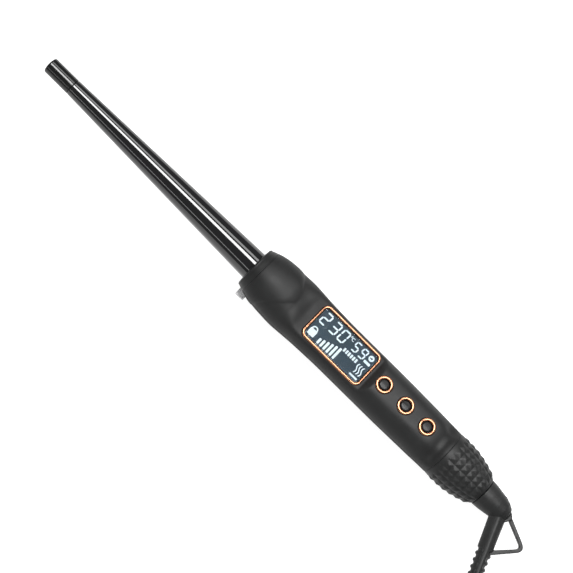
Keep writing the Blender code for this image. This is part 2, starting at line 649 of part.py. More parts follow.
def make_cord():
    tube("cord", CORD_ROUTE, CORD_R, "rubber_black", None, 4 * CORD_R)
    tube("cord_tail", TAIL_ROUTE, CORD_R, "rubber_black", None, 4 * CORD_R)
    low = TIE_THICK + GAP
    hank = extruded(hank_outline(), low, low + HANK_HEIGHT)
    new_object("cord_hank", hank, "rubber_black")
    middle = sum(HANK_FOLDS) / 2
    width = 2 * (HANK_NECK + CORD_R + 0.9)
    centre = (HANK_MIDDLE, low + HANK_HEIGHT / 2)
    height = HANK_HEIGHT + 2 * GAP
    hole = rounded(width, height, 0.4, 2, centre)
    band = rounded(width + 2 * TIE_THICK, height + 2 * TIE_THICK, 0.4 + TIE_THICK, 2, centre)
    tie = extruded(band, middle - TIE_WIDTH / 2, middle + TIE_WIDTH / 2, "X", hole)
    new_object("cord_tie", tie, "rubber_black")


def make_plug():
    """A flat two-pin plug that lies beside the hank, with its pins towards the wand."""
    rear, across, height = PLUG_REAR
    length, width, thick = PLUG_BODY
    back, front = rear - PLUG_RELIEF, rear - PLUG_RELIEF - length
    corner = 2.5
    sections = [(back, 0.45), (back - 5, 0.72), (back - 11, 0.95), (back - 15, 1.0), (front, 1.0)]
    shape = bmesh.new()
    rings = []
    for at, share in sections:
        outline = rounded(width * share, thick * (0.35 + 0.65 * share), corner, 4, (across, height))
        rings.append([shape.verts.new((at, y, z)) for y, z in outline])
    for a, b in zip(rings, rings[1:]):
        for k in range(len(a)):
            after = (k + 1) % len(a)
            shape.faces.new([a[k], a[after], b[after], b[k]])
    shape.faces.new(rings[0])
    shape.faces.new(rings[-1])
    plug = new_object("plug_body", shape, "rubber_black")
    relief = spindle_shape([(back - 1, 5.2), (rear, 3.6)], 20, "X", (across, height))
    combine(plug, new_object("plug_relief", relief, None), "UNION")
    radius, reach, apart = PLUG_PIN
    for name, side in (("left", 1), ("right", -1)):
        pin = [(front - reach, radius - 0.8), (front - reach + 0.8, radius), (front - GAP, radius)]
        place = (across + side * apart, height)
        new_object(f"plug_pin_{name}", spindle_shape(pin, 16, "X", place), "steel")


def build():
    clear_scene()
    wand = wand_frame()
    make_barrel(wand)
    make_cool_tip(wand)
    make_nose(wand)
    make_heater(wand)
    make_leads(wand)
    make_top_shell(wand)
    make_bottom_shell(wand)
    make_screws(wand)
    make_rear_grip(wand)
    make_display(wand)
    make_board(wand)
    make_buttons(wand)
    make_stand(wand)
    make_swivel(wand)
    make_guard(wand)
    make_cord()
    make_plug()


build()
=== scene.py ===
"""The looks of the curling wand: fine meshes, procedural materials, its cord, studio light and camera.
Pieces of the wand are made in its own frame, in millimetres: X runs from the cool tip to the cord and
Z towards the display. A station is a distance along X from the cool tip's end."""

import bisect
import json
import math
from math import cos, pi, radians, sin, tau

import bmesh
import bpy
from mathutils import Matrix, Vector


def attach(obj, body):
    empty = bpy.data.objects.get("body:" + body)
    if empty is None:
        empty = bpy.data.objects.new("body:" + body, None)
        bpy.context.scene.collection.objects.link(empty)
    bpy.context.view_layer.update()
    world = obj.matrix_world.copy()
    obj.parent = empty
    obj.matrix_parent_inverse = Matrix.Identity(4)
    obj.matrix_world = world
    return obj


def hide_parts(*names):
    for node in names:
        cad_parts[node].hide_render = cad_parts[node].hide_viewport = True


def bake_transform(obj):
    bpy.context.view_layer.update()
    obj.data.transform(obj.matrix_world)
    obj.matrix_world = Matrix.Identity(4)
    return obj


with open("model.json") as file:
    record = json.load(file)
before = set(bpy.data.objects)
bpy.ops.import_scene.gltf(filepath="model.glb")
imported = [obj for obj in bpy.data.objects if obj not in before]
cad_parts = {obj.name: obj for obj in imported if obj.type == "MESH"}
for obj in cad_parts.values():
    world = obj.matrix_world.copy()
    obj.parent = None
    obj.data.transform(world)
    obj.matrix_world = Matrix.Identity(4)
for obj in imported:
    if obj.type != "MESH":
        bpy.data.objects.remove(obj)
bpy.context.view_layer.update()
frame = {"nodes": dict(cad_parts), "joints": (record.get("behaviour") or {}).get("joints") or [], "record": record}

MM = 0.001

# ---- the wand's frame, from the swivel's joint ----

SWIVEL_STATION = 330.0
swivel = next(j for j in frame["joints"] if j["name"] == "cord_swivel")
ALONG = -Vector(swivel["axis"]).normalized()
SIDE = Vector((0, 1, 0))
UP = ALONG.cross(SIDE)
ORIGIN = Vector(swivel["pos_m"]) - ALONG * SWIVEL_STATION * MM
WAND = Matrix.Translation(ORIGIN) @ Matrix((ALONG, SIDE, UP)).transposed().to_4x4()
WORLD = Matrix.Identity(4)


def between(points, at):
    """The value at a station, on a smooth curve through (station, value) points that never overshoots."""
    places = [p[0] for p in points]
    i = min(max(bisect.bisect_right(places, at) - 1, 0), len(points) - 2)
    slopes = [(b[1] - a[1]) / (b[0] - a[0]) for a, b in zip(points, points[1:])]

    def tangent(k):
        if k in (0, len(points) - 1):
            return slopes[min(k, len(slopes) - 1)]
        before, after = slopes[k - 1], slopes[k]
        return 0.0 if before * after <= 0 else 2 * before * after / (before + after)

    (x0, y0), (x1, y1) = points[i], points[i + 1]
    h = x1 - x0
    t = min(max((at - x0) / h, 0), 1)
    rise = (2 * t**3 - 3 * t**2 + 1) * y0 + (3 * t**2 - 2 * t**3) * y1
    return rise + h * ((t**3 - 2 * t**2 + t) * tangent(i) + (t**3 - t**2) * tangent(i + 1))


def ease(t):
    """0 before 0, 1 after 1, and a smooth step between."""
    t = min(max(t, 0), 1)
    return (1 - cos(pi * t)) / 2


# ---- camera ----

ROLL = radians(17.0)  # the wand is seen from a little towards -Y
IMAGE_TURN = radians(44.66)
AIM = Vector((181.2, 4.65 * cos(ROLL), 4.65 * sin(ROLL)))
DISTANCE = 889.0
LENS = 100.0


def make_camera():
    across = (SIDE * cos(ROLL) + UP * sin(ROLL)).normalized()
    toward = ALONG.cross(across)
    right = ALONG * cos(IMAGE_TURN) + across * sin(IMAGE_TURN)
    up = toward.cross(right)
    data = bpy.data.cameras.new("camera")
    data.lens = LENS
    camera = bpy.data.objects.new("camera", data)
    bpy.context.scene.collection.objects.link(camera)
    turn = Matrix((right, up, toward)).transposed().to_4x4()
    camera.matrix_world = Matrix.Translation(WAND @ (AIM * MM) + toward * DISTANCE * MM) @ turn
    bpy.context.scene.camera = camera
    return across, toward


ACROSS, TOWARD = make_camera()

# ---- materials ----


class Look:
    """A material being built: a Principled shader and the nodes that feed it."""

    def __init__(self, name, colour, roughness, metallic=0.0):
        self.material = bpy.data.materials.new(name)
        self.material.use_nodes = True
        self.tree = self.material.node_tree
        self.shader = self.tree.nodes["Principled BSDF"]
        self.colour = colour
        self.roughness = roughness
        self.set("Base Color", (*colour, 1))
        self.set("Roughness", roughness)
        self.set("Metallic", metallic)
        self.coords = self.node("TexCoord").outputs["Object"]
        self.normal = None

    def node(self, kind, **values):
        made = self.tree.nodes.new("ShaderNode" + kind)
        for key, value in values.items():
            setattr(made, key, value)
        return made

    def link(self, output, target):
        self.tree.links.new(output, target)

    def set(self, socket, value):
        self.shader.inputs[socket].default_value = value

    def pattern(self, kind, scale, stretch=(1, 1, 1), output="Fac", **values):
        """A texture over the piece, scale being in features per metre."""
        mapping = self.node("Mapping")
        mapping.inputs["Scale"].default_value = stretch
        self.link(self.coords, mapping.inputs["Vector"])
        made = self.node(kind, **values)
        made.inputs["Scale"].default_value = scale
        self.link(mapping.outputs["Vector"], made.inputs["Vector"])
        return made, made.outputs[output]

    def noise(self, scale, detail=4.0, stretch=(1, 1, 1)):
        made, output = self.pattern("TexNoise", scale, stretch)
        made.inputs["Detail"].default_value = detail
        made.inputs["Roughness"].default_value = 0.55
        return output

    def cells(self, scale):
        return self.pattern("TexVoronoi", scale, output="Distance")[1]

    def waves(self, scale, axis):
        return self.pattern("TexWave", scale, bands_direction=axis)[1]

    def range(self, value, low, high, start=0.3, end=0.7):
        """Maps a 0 to 1 pattern onto low to high."""
        made = self.node("MapRange")
        for socket, number in (("From Min", start), ("From Max", end), ("To Min", low), ("To Max", high)):
            made.inputs[socket].default_value = number
        self.link(value, made.inputs["Value"])
        return made.outputs["Result"]

    def tint(self, value, amount, start=0.3, end=0.7):
        """Varies the colour by a share each way, following a pattern."""
        ramp = self.node("ValToRGB")
        ramp.color_ramp.elements[0].position = start
        ramp.color_ramp.elements[1].position = end
        for element, share in zip(ramp.color_ramp.elements, (1 - amount, 1 + amount)):
            element.color = (*[min(c * share, 1) for c in self.colour], 1)
        self.link(value, ramp.inputs["Fac"])
        self.base = ramp.outputs["Color"]
        self.link(self.base, self.shader.inputs["Base Color"])
        return self

    def rough(self, value, spread, start=0.3, end=0.7):
        low, high = max(self.roughness - spread, 0.01), self.roughness + spread
        self.link(self.range(value, low, high, start, end), self.shader.inputs["Roughness"])
        return self

    def bump(self, height, depth, strength=1.0):
        """Adds relief of a depth in metres on top of what is there."""
        made = self.node("Bump")
        made.inputs["Strength"].default_value = strength
        made.inputs["Distance"].default_value = depth
        self.link(height, made.inputs["Height"])
        if self.normal:
            self.link(self.normal, made.inputs["Normal"])
        self.normal = made.outputs["Normal"]
        self.link(self.normal, self.shader.inputs["Normal"])
        return self

    def worn(self, colour, amount, patches):
        """Lightens the raised edges, in patches."""
        edge = self.range(self.node("NewGeometry").outputs["Pointiness"], 0, amount, 0.52, 0.6)
        share = self.node("Math", operation="MULTIPLY")
        self.link(edge, share.inputs[0])
        self.link(self.range(patches, 0, 1, 0.35, 0.65), share.inputs[1])
        mix = self.node("Mix", data_type="RGBA")
        self.link(share.outputs[0], mix.inputs["Factor"])
        self.link(self.base, mix.inputs[6])
        mix.inputs[7].default_value = (*colour, 1)
        self.base = mix.outputs[2]
        self.link(self.base, self.shader.inputs["Base Color"])
        return self


def soft_touch(name, colour, roughness, grain=1500, depth=0.00003, shine=0.18):
    """Moulded matte plastic or rubber: a fine grain, faint handling marks and slightly polished edges."""
    look = Look(name, colour, roughness)
    look.set("IOR", 1.45)
    look.set("Specular IOR Level", shine)
    look.tint(look.noise(45, 5), 0.16)
    look.rough(look.noise(90, 6), 0.07)
    look.worn([min(c * 2.6 + 0.01, 1) for c in colour], 0.35, look.noise(240, 3))
    look.bump(look.noise(grain, 2), depth, 0.6)
    look.bump(look.noise(60, 3), depth * 3, 0.25)
    return look.material


def gloss_coat(name, colour, roughness, ior):
    """The barrel's hard glossy coating, with faint lengthwise wipe marks and mineral specks."""
    look = Look(name, colour, roughness)
    look.set("IOR", ior)
    look.tint(look.cells(2200), 0.35, 0.0, 0.25)
    look.rough(look.noise(60, 6, (0.15, 1, 1)), 0.015)
    look.bump(look.noise(35, 2, (0.3, 1, 1)), 0.00002, 0.25)
    return look.material


def metal(name, colour, roughness, brushed=(1, 1, 1)):
    """Plated or bare metal, lighter on its worn edges."""
    look = Look(name, colour, roughness, 1.0)
    look.tint(look.noise(140, 4), 0.07)
    look.rough(look.noise(420, 5, brushed), 0.05)
    look.worn([min(c * 1.25, 1) for c in colour], 0.4, look.noise(300, 3))
    look.bump(look.noise(900, 3, brushed), 0.00001, 0.3)
    return look.material


def plain_plastic(name, colour, roughness, grain=700):
    look = Look(name, colour, roughness)
    look.tint(look.noise(120, 4), 0.1)
    look.rough(look.noise(200, 5), 0.06)
    look.bump(look.noise(grain, 3), 0.00002, 0.4)
    return look.material


def glass(name):
    """The display's clear window, with faint smears."""
    look = Look(name, (0.95, 0.97, 1.0), 0.012)
    look.set("Transmission Weight", 1.0)
    look.set("IOR", 1.35)
    look.tint(look.noise(60, 4), 0.03)
    look.rough(look.noise(90, 3), 0.004)
    look.bump(look.noise(30, 2), 0.00001, 0.2)
    return look.material


def glowing(name, colour, strength, dull, scale):
    """A lit surface whose glow varies by a share, as a backlight does."""
    look = Look(name, colour, 0.5)
    look.set("Emission Strength", strength)
    look.set("Specular IOR Level", 0.1)
    look.tint(look.noise(scale, 3), dull)
    look.rough(look.noise(200, 3), 0.05)
    look.bump(look.noise(500, 2), 0.00001, 0.2)
    look.link(look.base, look.shader.inputs["Emission Color"])
    dark = look.node("Mix", data_type="RGBA")
    dark.inputs["Factor"].default_value = 0.9
    dark.inputs[7].default_value = (0, 0, 0, 1)
    look.link(look.base, dark.inputs[6])
    look.link(dark.outputs[2], look.shader.inputs["Base Color"])
    return look.material


def woven(name, colour, roughness):
    """Webbing: threads across each other."""
    look = Look(name, colour, roughness)
    look.tint(look.noise(200, 4), 0.3)
    look.rough(look.noise(300, 4), 0.06)
    for axis, strength in (("X", 0.7), ("Y", 0.5), ("Z", 0.5)):
        look.bump(look.waves(1000, axis), 0.0001, strength)
    return look.material


LOOKS = {
    "soft_touch_black": soft_touch("handle_black", (0.011, 0.0112, 0.0112), 0.5),
    "grip_black": soft_touch("grip_black", (0.011, 0.0113, 0.0112), 0.44, shine=0.22),
    "nose_black": soft_touch("nose_black", (0.011, 0.0112, 0.0112), 0.48),
    "guard_rubber": soft_touch("guard_rubber", (0.012, 0.0122, 0.0122), 0.46, 1100, shine=0.25),
    "cord_rubber": soft_touch("cord_rubber", (0.009, 0.0091, 0.0091), 0.45, 900),
    "plug_black": soft_touch("plug_black", (0.009, 0.0091, 0.0091), 0.42, 900),
    "tie_black": woven("tie_black", (0.02, 0.02, 0.021), 0.75),
    "barrel_coating": gloss_coat("barrel_coating", (0.003, 0.003, 0.0033), 0.045, 1.6),
    "tip_plastic": soft_touch("tip_plastic", (0.004, 0.0041, 0.0041), 0.12, 1300, 0.00001, shine=0.5),
    "rose_gold": metal("rose_gold", (0.36, 0.17, 0.095), 0.22),
    "display_glass": glass("display_glass"),
    "lcd": glowing("lcd_field", (0.038, 0.062, 0.082), 1.0, 0.2, 70),
    "light_guide": plain_plastic("light_guide", (0.8, 0.83, 0.86), 0.4),
    "button_black": soft_touch("button_black", (0.006, 0.006, 0.0062), 0.3, 900),
    "plug_metal": metal("plug_metal", (0.66, 0.64, 0.6), 0.22),
    "stand_grey": plain_plastic("stand_grey", (0.8, 0.8, 0.81), 0.6, 900),
    "steel": metal("steel", (0.62, 0.62, 0.64), 0.28),
    "brass": metal("brass", (0.78, 0.58, 0.28), 0.28),
    "aluminium": metal("aluminium", (0.76, 0.77, 0.79), 0.33, (0.1, 1, 1)),
    "heater_ceramic": plain_plastic("heater_ceramic", (0.75, 0.72, 0.66), 0.5),
    "insulator": plain_plastic("insulator", (0.55, 0.5, 0.42), 0.55),
    "board_green": plain_plastic("board_green", (0.02, 0.16, 0.06), 0.38),
    "component_black": plain_plastic("component_black", (0.02, 0.02, 0.02), 0.45),
    "capacitor_yellow": plain_plastic("capacitor_yellow", (0.7, 0.5, 0.08), 0.4),
    "lead_red": plain_plastic("lead_red", (0.5, 0.03, 0.02), 0.45),
    "lead_white": plain_plastic("lead_white", (0.7, 0.7, 0.68), 0.45),
}
FIGURES = glowing("lcd_figures", (0.78, 0.9, 0.95), 1.0, 0.05, 200)


def repaint_nodes():
    """Every CAD node gets its slot's procedural material; those that a finer piece replaces stay hidden."""
    for part in frame["record"]["subparts"]:
        materials = frame["nodes"][part["node"]].data.materials
        materials.clear()
        materials.append(LOOKS[part["material_slot"]])


# ---- making meshes ----


def soften(points, reach, steps=3):
    """Rounds the corners of an outline of (x, y) points."""
    points = [Vector(p) for p in points]
    rounded = []
    for k, point in enumerate(points):
        before, after = points[k - 1] - point, points[(k + 1) % len(points)] - point
        start = point + before.normalized() * min(reach, before.length * 0.45)
        end = point + after.normalized() * min(reach, after.length * 0.45)
        for step in range(steps + 1):
            t = step / steps
            rounded.append(start * (1 - t) ** 2 + point * 2 * t * (1 - t) + end * t**2)
    return rounded


def skinned(rings, looped=False, shape=None):
    """A closed shape through rings of points: capped at both ends, or joined last to first."""
    shape = shape or bmesh.new()
    verts = [[shape.verts.new(p) for p in ring] for ring in rings]
    pairs = list(zip(verts, verts[1:]))
    if looped:
        pairs.append((verts[-1], verts[0]))
    for a, b in pairs:
        for k in range(len(a)):
            after = (k + 1) % len(a)
            shape.faces.new([a[k], a[after], b[after], b[k]])
    if not looped:
        shape.faces.new(verts[0])
        shape.faces.new(verts[-1])
    return shape


def lathe(profile, segments, axis="X", at=(0, 0), looped=True, shape=None):
    """A turned shape from (along, radius) points, round X, Y or Z, through a point of the other two axes."""
    rings = []
    for along, radius in profile:
        ring = []
        for k in range(segments):
            u, v = radius * cos(tau * k / segments), radius * sin(tau * k / segments)
            place = {
                "X": (along, at[0] + u, at[1] + v),
                "Y": (at[0] + v, along, at[1] + u),
                "Z": (at[0] + u, at[1] + v, along),
            }
            ring.append(Vector(place[axis]))
        rings.append(ring)
    return skinned(rings, looped, shape)


def rounded_box(width, height, corner, steps=8, centre=(0, 0)):
    """The outline of a rectangle with round corners."""
    outline = []
    for quarter, (sx, sy) in enumerate([(1, 1), (-1, 1), (-1, -1), (1, -1)]):
        cx = centre[0] + sx * (width / 2 - corner)
        cy = centre[1] + sy * (height / 2 - corner)
        for k in range(steps + 1):
            turn = pi / 2 * (quarter + k / steps)
            outline.append(Vector((cx + corner * cos(turn), cy + corner * sin(turn))))
    return outline


def prism(outline, low, high, axis="Z", edge=0.0, shape=None):
    """A plate from an outline, along Z (x, y), Y (x, z) or X (y, z), its rims rounded by edge."""
    centre = sum(outline, Vector((0, 0))) / len(outline)
    size = max((p - centre).length for p in outline)
    levels = [(low, 0)]
    if edge:
        turns = [pi / 2 * k / 3 for k in range(4)]
        levels = [(low + edge * (1 - sin(t)), edge * (1 - cos(t))) for t in turns[::-1]]
        levels += [(high - edge * (1 - sin(t)), edge * (1 - cos(t))) for t in turns]
    else:
        levels.append((high, 0))
    rings = []
    for height, inset in levels:
        ring = []
        for p in outline:
            u, v = centre + (p - centre) * (1 - inset / size)
            ring.append(Vector({"Z": (u, v, height), "Y": (u, height, v), "X": (height, u, v)}[axis]))
        rings.append(ring)
    return skinned(rings, False, shape)


def swept(path, section, up=Vector((0, 0, 1)), shape=None):
    """A shape along a path of points. section(k) gives the (across, up) outline at the path's point k."""
    rings = []
    last = len(path) - 1
    for k, point in enumerate(path):
        forward = (path[min(k + 1, last)] - path[max(k - 1, 0)]).normalized()
        across = forward.cross(up).normalized()
        above = across.cross(forward)
        rings.append([point + across * u + above * v for u, v in section(k)])
    return skinned(rings, False, shape)


def settle(obj, slot, body, *nodes):
    """Puts a finished piece on its body, standing for its CAD nodes. The slot is not used."""
    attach(obj, body)
    if nodes:
        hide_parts(*nodes)


def piece(name, shape, slot, body, nodes=(), place=WAND, sharp=38.0, look=None):
    """A piece from a shape in millimetres. One that still has to be cut or fused has no body yet."""
    bmesh.ops.remove_doubles(shape, verts=shape.verts, dist=1e-5)
    bmesh.ops.recalc_face_normals(shape, faces=shape.faces)
    bmesh.ops.scale(shape, vec=(MM, MM, MM), verts=shape.verts)
    mesh = bpy.data.meshes.new(name)
    shape.to_mesh(mesh)
    shape.free()
    mesh.shade_smooth()
    mesh.set_sharp_from_angle(angle=radians(sharp))
    mesh.materials.append(look or LOOKS[slot])
    obj = bpy.data.objects.new(name, mesh)
    bpy.context.scene.collection.objects.link(obj)
    obj.matrix_world = place
    if body:
        settle(obj, slot, body, *nodes)
    return obj


def apply_modifiers(obj):
    """Keeps what the object's modifiers give as its plain mesh."""
    bpy.context.view_layer.update()
    graph = bpy.context.evaluated_depsgraph_get()
    mesh = bpy.data.meshes.new_from_object(obj.evaluated_get(graph))
    obj.modifiers.clear()
    obj.data = mesh
    return mesh


def cut(obj, cutters):
    """Cuts shapes in millimetres out of a piece."""
    helpers = []
    for k, shape in enumerate(cutters):
        helper = piece(f"{obj.name}_cutter_{k}", shape, "steel", None, place=obj.matrix_world.copy())
        change = obj.modifiers.new(f"cut_{k}", "BOOLEAN")
        change.operation = "DIFFERENCE"
        change.solver = "EXACT"
        change.object = helper
        helpers.append(helper)
    apply_modifiers(obj).set_sharp_from_angle(angle=radians(38))
    for helper in helpers:
        bpy.data.objects.remove(helper)


# ---- cord, tie and plug, on the ground ----

CORD_R = 3.0
CORD_ROUTE = [(197.81, -44.36, 4.55), (200.4, -50.9, 3.7), (202.0, -54.9, 3.3), (203.5, -58.7, 3.15)]
CORD_ROUTE += [(207.9, -66.2, 3.1), (214.9, -72.8, 3.1), (223.6, -76.8, 3.1), (232.0, -78.0, 3.1)]
CORD_ROUTE += [(238.0, -78.0, 3.1)]
TAIL_ROUTE = [(337.6, -31.3, 19.5), (336.0, -23.0, 16.2), (331.0, -15.0, 12.4), (323.0, -8.6, 9.2)]
TAIL_ROUTE += [(316.0, -5.8, 7.3), (312.0, -5.4, 6.9), (309.1, -5.4, 6.85)]
HANK_FOLDS = (234.0, 311.5)
HANK_MIDDLE = -47.4
TIE_THICK = 1.5  # the strands lie this much higher where they cross the tie

FOLD_R = (18.0, 24.0)  # folds of the inner and outer turn, at the middle of the cord
NECK = (3.4, 9.6)  # half their width at the tie
HALF = (HANK_FOLDS[1] - HANK_FOLDS[0]) / 2
SIDE_LENGTH = 84.0
FOLD_LENGTH = 66.0
LOOP = 2 * (SIDE_LENGTH + FOLD_LENGTH)
MOVE = 44.0  # length over which a strand moves to its next place
MOVES = [(262, "in"), (244, "up"), (226, "out"), (208, "up"), (190, "in")]  # start of each, turn by turn


def hank_place(along, ring, level):
    """A point along the hank's loop, on a ring from 0 inner to 1 outer and at a level from 0."""
    fold = FOLD_R[0] + (FOLD_R[1] - FOLD_R[0]) * ring
    neck = NECK[0] + (NECK[1] - NECK[0]) * ring
    height = CORD_R + 0.1 + 2 * CORD_R * level
    along = along % LOOP
    first, last = HANK_FOLDS
    stretch = 0 if along < SIDE_LENGTH + FOLD_LENGTH else 1
    along -= stretch * LOOP / 2
    turned = 1 - 2 * stretch
    if along < SIDE_LENGTH:
        x = HALF * (2 * along / SIDE_LENGTH - 1)
        width = neck + (fold - neck) * (1 - cos(pi * x / HALF)) / 2
        height += TIE_THICK * (1 + cos(pi * x / HALF)) / 2
        return Vector(((first + last) / 2 + turned * x, HANK_MIDDLE - turned * width, height))
    turn = pi * (along - SIDE_LENGTH) / FOLD_LENGTH - pi / 2
    centre = last if stretch == 0 else first
    return Vector((centre + turned * fold * cos(turn), HANK_MIDDLE + turned * fold * sin(turn), height))


def wound(along):
    """The strand at a distance along the loops. It moves in, out or up at the end of each turn."""
    ring, level = 1.0, 0.0
    for turn, (start, way) in enumerate(MOVES):
        share = ease((along - turn * LOOP - start) / MOVE)
        ring += share * {"in": -1, "out": 1, "up": 0}[way]
        level += share * (way == "up")
    return hank_place(along, ring, level)


def even_points(route, spacing):
    """Evenly spaced points on a Catmull-Rom curve through the route."""
    ends = [2 * route[0] - route[1], *route, 2 * route[-1] - route[-2]]
    fine = []
    for k in range(1, len(ends) - 2):
        a, b, c, d = ends[k - 1 : k + 3]
        for step in range(12):
            t = step / 12
            even = 2 * b + (c - a) * t + (2 * a - 5 * b + 4 * c - d) * t**2
            fine.append((even + (3 * b - a - 3 * c + d) * t**3) / 2)
    fine.append(route[-1])
    lengths = [0.0]
    for a, b in zip(fine, fine[1:]):
        lengths.append(lengths[-1] + (b - a).length)
    count = max(2, round(lengths[-1] / spacing) + 1)
    points = []
    for k in range(count):
        at = lengths[-1] * k / (count - 1)
        i = min(bisect.bisect_right(lengths, at) - 1, len(fine) - 2)
        share = (at - lengths[i]) / (lengths[i + 1] - lengths[i])
        points.append(fine[i].lerp(fine[i + 1], share))
    return points


ARC_STEPS = 6


def lead_in():
    """From the cord's straight end beside the hank to its place at the tie, by two mirrored arcs."""
    start = Vector(CORD_ROUTE[-1])
    end = wound(SIDE_LENGTH / 2)
    length, width = end.x - start.x, end.y - start.y
    radius = (length**2 + width**2) / (4 * width)
    sweep = 2 * math.atan2(width, length)
    points = []
    for k in range(1, ARC_STEPS + 1):
        turn = sweep * k / ARC_STEPS
        points.append(start + Vector((radius * sin(turn), radius * (1 - cos(turn)), 0)))
    for k in range(ARC_STEPS - 1, -1, -1):
        turn = sweep * k / ARC_STEPS
        points.append(end - Vector((radius * sin(turn), radius * (1 - cos(turn)), 0)))
    for k, point in enumerate(points):
        point.z = start.z + (end.z - start.z) * ease((k + 1) / len(points))
    return points


EXIT_TURN = radians(-30)
EXIT_HEIGHT = 22.4


def way_out(last_turn):
    """The last strand rises after the tie and crosses the outer strands over the far fold."""
    points = []
    tie = last_turn * LOOP + SIDE_LENGTH / 2
    end = last_turn * LOOP + SIDE_LENGTH + FOLD_LENGTH * (EXIT_TURN + pi / 2) / pi
    count = 10
    for k in range(1, count + 1):
        point = wound(tie + (end - tie) * k / count)
        point.z += (EXIT_HEIGHT - point.z) * ease((k / count - 0.05) / 0.95)
        points.append(point)
    heading = Vector((-sin(EXIT_TURN), cos(EXIT_TURN), 0))
    points.append(points[-1] + heading * 7)
    points.append(points[-1] + heading * 7 - Vector((0, 0, 0.5)))
    return points


def cord_path():
    step = 5.0
    last_turn = len(MOVES)
    lead = [Vector(p) for p in CORD_ROUTE]
    inside = lead[0] + (lead[0] - lead[1]).normalized() * 4  # the end sits in the guard
    count = round((last_turn * LOOP) / step)
    coil = [wound(SIDE_LENGTH / 2 + last_turn * LOOP * k / count) for k in range(1, count + 1)]
    tail = [Vector(p) for p in TAIL_ROUTE]
    tail.append(tail[-1] - Vector((4, 0, 0)))
    return even_points([inside, *lead, *lead_in(), *coil, *way_out(last_turn), *tail], CORD_SPACING)


CORD_SIDES = 18
CORD_SPACING = 1.6


def make_cord():
    path = cord_path()
    turns = [tau * k / CORD_SIDES for k in range(CORD_SIDES)]
    circle = [(CORD_R * cos(t), CORD_R * sin(t)) for t in turns]
    shape = swept(path, lambda k: circle)
    cord = piece("mains_cord", shape, "cord_rubber", None, place=WORLD)
    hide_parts("cord", "cord_hank", "cord_tail")
    return cord, [p * MM for p in path]


mains_cord, cord_line = make_cord()


# ---- barrel, cool tip and nose ring ----

TIP_END, TIP_R = 18.0, 5.0
BARREL_START, BARREL_TAPER_END, BARREL_END = 18.3, 160.5, 178.0
BARREL_R = (5.03, 8.93)
RING_START, RING_END = 160.2, 165.0
RINGED = 120  # segments of the larger turned pieces


def make_barrel():
    small, large = BARREL_R
    count = 60
    taper = []
    for k in range(count + 1):
        share = k / count
        at = BARREL_START + 0.5 + share * (BARREL_TAPER_END - BARREL_START - 0.5)
        taper.append((at, small + share * (large - small)))
    rim = [(0, 0.25), (0.08, 0.1), (0.25, 0.02)]
    outer = [(BARREL_START + along, small - inset) for along, inset in rim]
    outer += taper + [(BARREL_END, large)]
    inner = [(BARREL_END, large - 1), (BARREL_TAPER_END, large - 1), (BARREL_START, small - 1)]
    piece("barrel_surface", lathe(outer + inner, RINGED), "barrel_coating", "handle", ["barrel"])


def make_cool_tip():
    edge = 1.15
    dome = [(0.02, 0.05), (0.02, 1.6), (0.06, TIP_R - edge - 0.6)]
    for k in range(9):
        turn = pi / 2 * k / 8
        dome.append((0.1 + edge * (1 - cos(turn)), TIP_R - edge * (1 - sin(turn))))
    body = [(4.0, TIP_R), (8.0, TIP_R), (12.0, TIP_R), (TIP_END - 0.3, TIP_R)]
    spigot = BARREL_R[0] - 1.1
    body += [(TIP_END - 0.08, TIP_R - 0.08), (TIP_END, TIP_R - 0.3), (TIP_END, spigot)]
    body += [(TIP_END + 8, spigot), (TIP_END + 8, 0.05)]
    piece("cool_tip_surface", lathe(dome + body, 72, looped=False), "tip_plastic", "handle", ["cool_tip"])


def make_nose_ring():
    bore = BARREL_R[1] + 0.12
    ring = [(RING_START, bore), (RING_START, 9.4), (160.5, 12.3), (160.9, 13.0), (161.3, 13.25)]
    ring += [(161.7, 13.2), (163.0, 13.75), (RING_END - 0.3, 14.3), (RING_END + 0.55, 14.65)]
    ring += [(RING_END + 0.55, 12.2), (168.6, 12.2), (168.6, bore)]
    shape = lathe(soften(ring, 0.15), RINGED)
    piece("nose_collar", shape, "nose_black", "handle", ["nose_ring"])


# ---- handle ----

SHELL_START, SHELL_END = 165.6, 308.4
SHELL_WALL = 1.8
HANDLE = [(165.6, 14.75), (168.5, 15.6), (172.2, 16.4), (178.9, 17.0), (188.9, 17.2), (198.9, 16.6)]
HANDLE += [(205.6, 16.15), (212.2, 15.9), (225.6, 15.55), (265.6, 15.5), (282, 15.25), (295.6, 15.0)]
HANDLE += [(302, 14.8), (308.4, 14.7)]
TOP = [(165.6, 22), (184, 20), (189, 16.6), (195.5, 12.4), (200, 10.4), (205, 9.7), (248.6, 9.7)]
TOP += [(251, 12.0), (253.5, 14.0), (300, 14.1), (304, 16), (308.2, 20)]
FLAT_SHARPNESS = (5, 20)  # how tightly the flattened top turns into the sides, before and at the display
# Where the nose's smooth front ends: station by degrees round the handle from the display towards +Y.
CREASE = [(-107, 174.3), (-88, 174.8), (-67, 176.3), (-50, 179.2), (-36, 183.6), (-20, 188.5), (-5, 191.2)]
CREASE += [(8, 190.8), (24, 189.6), (37, 187.3), (55, 185.2), (73, 183.5), (100, 181)]
CREASE += [(180, 178), (253, 174.3)]
CREASE_DEPTH = 0.95
CREASE_SHARE = [(-107, 0.3), (-45, 0.35), (0, 0.6), (28, 1), (50, 1), (66, 0.6), (80, 0.4), (253, 0.3)]
WAIST = (296.5, 303.6)
WAIST_DEPTH = 2.3

DISPLAY_AT = 225.7
BUTTONS = [("front", 257.5), ("middle", 274.0), ("rear", 290.5)]
SCREWS = [("front", 192.0), ("rear", 298.6)]
STAND_PIN = (167.6, -18.2)


